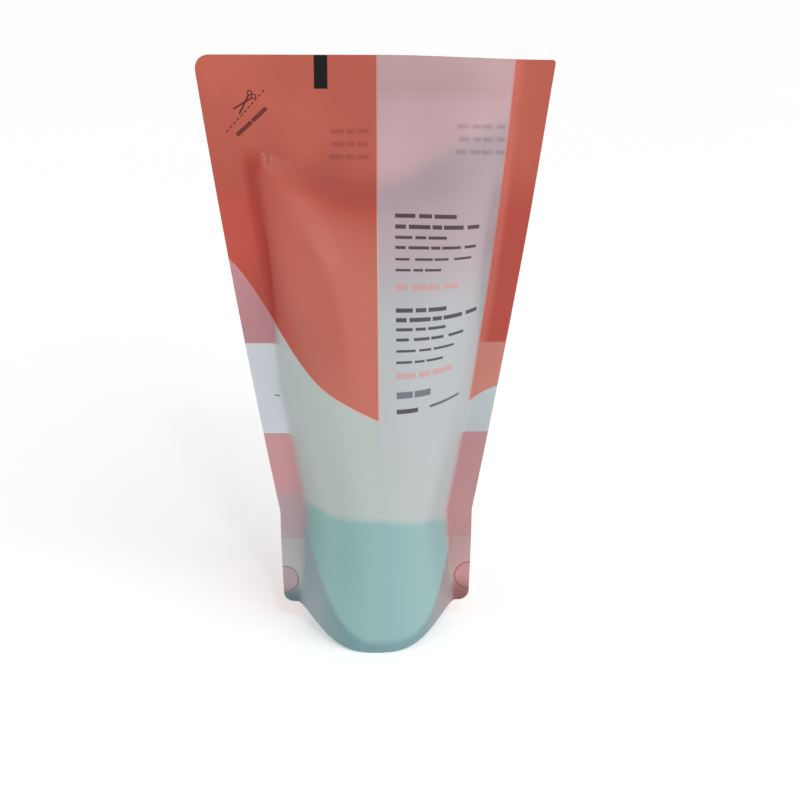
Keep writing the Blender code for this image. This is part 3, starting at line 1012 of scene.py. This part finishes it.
# %% Eye mark, cut line, bars and arcs
# In millimetres, across and up. The eye mark is its left, its right and its low edge.
EYE_MARK = (-21.1, -16.4, 208.8)
SPECK = ((-37.2, 95.2), (-35.6, 95.0))
CUT_START, CUT_END = (-52.1, 193.5), (-38.1, 208.7)
WORDS_LEFT = 7.0
WORD_LENGTH = 6.5
# Lines of words: height of the line, its right end and half the height of its bar
DARK_LINES = [
    (163.6, 29.5, 0.72), (159.9, 37.5, 0.72), (156.3, 25.9, 0.52), (152.9, 36.3, 0.52),
    (149.0, 34.8, 0.42), (145.4, 23.8, 0.42), (132.0, 25.7, 0.72), (128.8, 37.1, 0.72),
    (125.6, 25.4, 0.52), (122.2, 32.1, 0.52), (118.4, 28.6, 0.42), (114.6, 24.4, 0.42),
    (97.8, 15.5, 0.80),
]
SALMON_LINES = [(139.7, 30.0, 1.05), (110.0, 28.0, 1.05)]
GREY_LINES = [(103.4, 19.9, 1.15)]
LOOSE_LINE = ((19.4, 98.0), (29.8, 98.0))
SCISSOR_BLADES = [((-49.2, 201.8), (-43.0, 205.5)), ((-47.2, 200.2), (-44.0, 206.4))]
SCISSOR_HANDLES = [(-42.2, 206.1), (-43.6, 207.4)]
CUT_WORDS = [((-47.9, 192.9), (-43.6, 196.8)), ((-42.4, 197.9), (-38.3, 201.7))]
DASH_PITCH = 1.9
DASH_SHARE = 0.6
GHOST_SOFT = 0.9
GHOST_FROM = (160.0, 4.0)


def word_line(finish, height, end, half_height):
    on_line = finish.z.within(height - half_height, height + half_height, 0.15)
    words = round((end - WORDS_LEFT) / WORD_LENGTH)
    return on_line * words_across(finish.x, WORDS_LEFT, end, words)


def cut_marks(finish):
    length = math.dist(CUT_START, CUT_END)
    way_x, way_z = [(end - start) / length for start, end in zip(CUT_START, CUT_END)]
    along = (finish.x - CUT_START[0]) * way_x + (finish.z - CUT_START[1]) * way_z
    dashes = 1 - (along * (1 / DASH_PITCH)).math("FRACT").past(DASH_SHARE, 0.05)
    marks = finish.segment(CUT_START, CUT_END, half_width=0.2) * dashes
    for start, end in SCISSOR_BLADES:
        marks = marks.math("MAXIMUM", finish.segment(start, end, half_width=0.3))
    for centre in SCISSOR_HANDLES:
        marks = marks.math("MAXIMUM", finish.ring(centre, radius=0.75, half_width=0.2))
    for start, end in CUT_WORDS:
        marks = marks.math("MAXIMUM", finish.segment(start, end, half_width=0.75) * 0.85)
    return marks


def front_marks(finish, colour, touch):
    ghost = head_lines(finish, GHOST_SOFT) * touch * finish.z.past(*GHOST_FROM)
    colour = finish.blend(colour, (0.66, 0.62, 0.64, 1.0), ghost * 0.8, "MULTIPLY")
    for lines, paint, strength in (
        (DARK_LINES, ink(40, 22, 36), 0.85),
        (SALMON_LINES, ink(202, 146, 140), 0.65),
        (GREY_LINES, ink(70, 78, 88), 0.75),
    ):
        for line in lines:
            colour = finish.blend(colour, paint, word_line(finish, *line) * strength)
    colour = finish.blend(colour, ink(40, 22, 36), finish.segment(*LOOSE_LINE, 0.5) * 0.75)
    colour = finish.blend(colour, ink(80, 60, 66), finish.segment(*SPECK, 0.25) * 0.8)
    colour = finish.blend(colour, ink(66, 16, 22), cut_marks(finish) * 0.92)
    for centre, paint in zip(PUNCH_CENTRES, PUNCH_LINE_INKS):
        colour = finish.blend(colour, ink(*paint), finish.ring(centre, PUNCH_LINE_RADIUS, 0.16) * 0.85)
    left, right, low = EYE_MARK
    return finish.blend(colour, ink(6, 2, 8), finish.x.within(left, right) * finish.z.past(low))


print("lines of words on the front:", len(DARK_LINES + SALMON_LINES + GREY_LINES) + 1)

# %% [markdown]
# The surface of film
#
# Film has a satin skin. It is never quite flat: a shallow orange peel all over, and the pressed edge of each
# heat seal. Both are too fine for the mesh, so they are a bump, which bends the light and not the shape.

# %% Satin skin, orange peel and pressed seals
TOP_SEAL_Z = 208.5
SEAL_WIDTH = 9.0
SEAL_FROM = (50.0, 4.0)
SEAL_SOFT = 0.35
PEEL_HEIGHT, WAVE_HEIGHT, SEAL_STEP = 0.02, 0.35, 0.10
ROUGHNESS, PEEL_ROUGHNESS = 0.30, 0.10
SET_SOCKETS = {"Specular IOR Level": 0.15, "Coat Weight": 0.12, "Coat Roughness": 0.12}


def film_surface(finish):
    t = (finish.z - WAIST_Z * MILLIMETRES) * (1 / ((HEIGHT - WAIST_Z) * MILLIMETRES))
    waist = (FOOT_WIDTH + FOOT_FLARE) / 2 * MILLIMETRES
    widening = TOP_WIDTH / 2 * MILLIMETRES - waist
    side = waist + widening * t + SIDE_BOW * MILLIMETRES * 4 * t * (1 - t)
    in_side_seal = (abs(finish.x) - side + SEAL_WIDTH).past(0.0, SEAL_SOFT) * finish.z.past(*SEAL_FROM)
    in_seal = in_side_seal.math("MAXIMUM", finish.z.past(TOP_SEAL_Z, SEAL_SOFT))
    peel = finish.noise(scale=420.0, detail=3.0)
    waves = finish.noise(scale=60.0, stretch=(1.0, 1.0, 0.45))
    height = peel * PEEL_HEIGHT + waves * WAVE_HEIGHT - in_seal * SEAL_STEP
    relief = {"Strength": 1.0, "Distance": 1 / MILLIMETRES, "Height": height}
    bump = finish.add("ShaderNodeBump", {}, relief, "Normal")
    finish.feed(finish.shader.inputs["Normal"], bump)
    finish.feed(finish.shader.inputs["Roughness"], ROUGHNESS + PEEL_ROUGHNESS * peel)
    for socket, value in SET_SOCKETS.items():
        finish.shader.inputs[socket].default_value = value


print("seal width:", SEAL_WIDTH, "mm, and the top seal starts at", TOP_SEAL_Z, "mm")

# %% [markdown]
# The other finishes
#
# The back film is the same film with its own print. The gusset is plain frosted film with a mint tint, and
# the body wash is a smooth, opaque, pearly white.

# %% Back film, gusset and body wash
def back_finish():
    finish = Finish("frosted film, back print")
    colour = finish.blend(ink(190, 106, 94), ink(192, 198, 200), back_band(finish))
    colour = finish.blend(colour, ink(60, 40, 50), bar_block(finish, *LABEL_BLOCK) * 0.8)
    colour = finish.blend(colour, ink(84, 36, 40), head_lines(finish, 0.12) * 0.85)
    touch = 0.5 * finish.z.past(150.0, 20.0)
    finish.feed(finish.shader.inputs["Base Color"], haze(finish, colour, touch))
    film_surface(finish)
    return finish.material


def gusset_finish():
    finish = Finish("frosted film, gusset")
    cloud = finish.noise(scale=90.0)
    colour = finish.blend(ink(134, 166, 170), ink(150, 178, 180), cloud)
    finish.feed(finish.shader.inputs["Base Color"], colour)
    finish.feed(finish.shader.inputs["Roughness"], 0.36 + 0.12 * cloud)
    finish.shader.inputs["Alpha"].default_value = 0.92
    return finish.material


def wash_finish():
    finish = Finish("body wash")
    pearl = finish.noise(scale=45.0, detail=3.0)
    colour = finish.blend(ink(224, 224, 218), ink(236, 236, 230), pearl)
    finish.feed(finish.shader.inputs["Base Color"], colour)
    finish.feed(finish.shader.inputs["Roughness"], 0.22 + 0.08 * pearl)
    return finish.material


for piece, material in (
    (front_film, front_finish()),
    (back_film, back_finish()),
    (gusset_film, gusset_finish()),
    (body_wash_fill, wash_finish()),
):
    piece.data.materials.clear()
    piece.data.materials.append(material)
    print(piece.name, "nodes in its finish:", len(material.node_tree.nodes))

# %% [markdown]
# Put the pieces in place of the nodes
#
# Each sheet rides on the root body and stands for one node of the imported model, which is hidden.

# %% Ride and replace
PIECES = [
    (front_film, "front_panel", "front_film"),
    (back_film, "back_panel", "back_film"),
    (gusset_film, "bottom_gusset", "gusset_film"),
    (body_wash_fill, "body_wash", "liquid"),
]
for piece, node, slot in PIECES:
    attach(piece, "root")
    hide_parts(node)
    print(piece.name, "stands for", node)

# %% [markdown]
# The floor
#
# The pouch stands on a plain pale floor. A little glow keeps it as white as paper in the photograph, and it
# still takes the pouch's soft shadow.

# %% Lay the floor
FLOOR_SIZE = 8
FLOOR_Z = -0.0002
FLOOR_GLOW = 0.42

bpy.ops.mesh.primitive_plane_add(size=FLOOR_SIZE, location=(0, 0, FLOOR_Z))
floor = bpy.context.object
floor.name = "studio_floor"
floor_paint = Finish("pale floor")
speckle = floor_paint.noise(scale=3.0)
shade = floor_paint.blend((0.90, 0.90, 0.90, 1.0), (0.93, 0.93, 0.93, 1.0), speckle)
floor_paint.feed(floor_paint.shader.inputs["Base Color"], shade)
floor_paint.shader.inputs["Roughness"].default_value = 0.9
floor_paint.shader.inputs["Emission Color"].default_value = (1.0, 1.0, 1.0, 1.0)
floor_paint.shader.inputs["Emission Strength"].default_value = FLOOR_GLOW
floor.data.materials.append(floor_paint.material)
print("floor:", FLOOR_SIZE, "m square")

# %% [markdown]
# The room
#
# A photographer's room is brightest low down, where a white sweep of paper meets the floor, and dimmer above.
# The world's strength falls off with height in the same way, so no edge shows behind the pouch.

# %% Light the room
SWEEP = {"From Min": 0.04, "From Max": 0.36, "To Min": 1.0, "To Max": 0.38}

world = bpy.data.worlds.new("studio")
world.use_nodes = True
room = world.node_tree
direction = room.nodes.new("ShaderNodeTexCoord")
height = room.nodes.new("ShaderNodeSeparateXYZ")
strength = room.nodes.new("ShaderNodeMapRange")
strength.interpolation_type = "SMOOTHSTEP"
for name, value in SWEEP.items():
    strength.inputs[name].default_value = value
room.links.new(direction.outputs["Generated"], height.inputs[0])
room.links.new(height.outputs["Z"], strength.inputs["Value"])
room.links.new(strength.outputs[0], room.nodes["Background"].inputs["Strength"])
room.nodes["Background"].inputs["Color"].default_value = (1.0, 1.0, 1.0, 1.0)
bpy.context.scene.world = world
bpy.context.scene.view_settings.view_transform = "Standard"
print("room brightness, low and high:", SWEEP["To Min"], SWEEP["To Max"])

# %% [markdown]
# The lights
#
# Most of the light is a wide, soft sun from the front right. A small lamp, above the camera and to its right,
# gives the folds their small highlights.

# %% Hang the lights
def lamp(name, kind, energy, rotation, location=(0, 0, 0)):
    light = bpy.data.lights.new(name, kind)
    light.energy = energy
    holder = bpy.data.objects.new(name, light)
    bpy.context.scene.collection.objects.link(holder)
    holder.location = location
    holder.rotation_euler = [math.radians(angle) for angle in rotation]
    return light


sun = lamp("soft_sun", "SUN", energy=1.15, rotation=(56, 0, 38))
sun.angle = math.radians(50)
soft_box = lamp("soft_box", "AREA", energy=1.2, rotation=(42, 0, 7.6), location=(0.10, -0.75, 0.95))
soft_box.shape = "DISK"
soft_box.size = 0.10
print("lights:", sun.name, "and", soft_box.name)

# %% [markdown]
# The camera
#
# The camera stands where the photographer stood: a little above, and square to the front. Its shift puts the
# pouch where it is in the frame.

# %% Place the camera
CAMERA_DISTANCE = 0.620
CAMERA_ELEVATION = math.radians(20.0)
CAMERA_AZIMUTH = math.radians(-0.98)
CAMERA_ROLL = math.radians(-0.17)
TARGET_Z = 0.110
SENSOR = 36.0
FRAME_PIXELS = 800
FOCAL_PIXELS = 1689.9
TARGET_PIXEL = (375.64, 356.34)

camera = bpy.data.cameras.new("photographer")
camera.sensor_width = SENSOR
camera.lens = FOCAL_PIXELS / FRAME_PIXELS * SENSOR
camera.shift_x = (FRAME_PIXELS / 2 - TARGET_PIXEL[0]) / FRAME_PIXELS
camera.shift_y = (TARGET_PIXEL[1] - FRAME_PIXELS / 2) / FRAME_PIXELS
camera_object = bpy.data.objects.new("photographer", camera)
bpy.context.scene.collection.objects.link(camera_object)
flat = CAMERA_DISTANCE * math.cos(CAMERA_ELEVATION)
camera_object.location = (
    flat * math.sin(CAMERA_AZIMUTH),
    -flat * math.cos(CAMERA_AZIMUTH),
    TARGET_Z + CAMERA_DISTANCE * math.sin(CAMERA_ELEVATION),
)
look = Euler((math.pi / 2 - CAMERA_ELEVATION, 0, CAMERA_AZIMUTH)).to_matrix()
camera_object.rotation_euler = (look @ Matrix.Rotation(CAMERA_ROLL, 3, "Z")).to_euler()
bpy.context.scene.camera = camera_object
print("camera at", [round(part, 3) for part in camera_object.location])
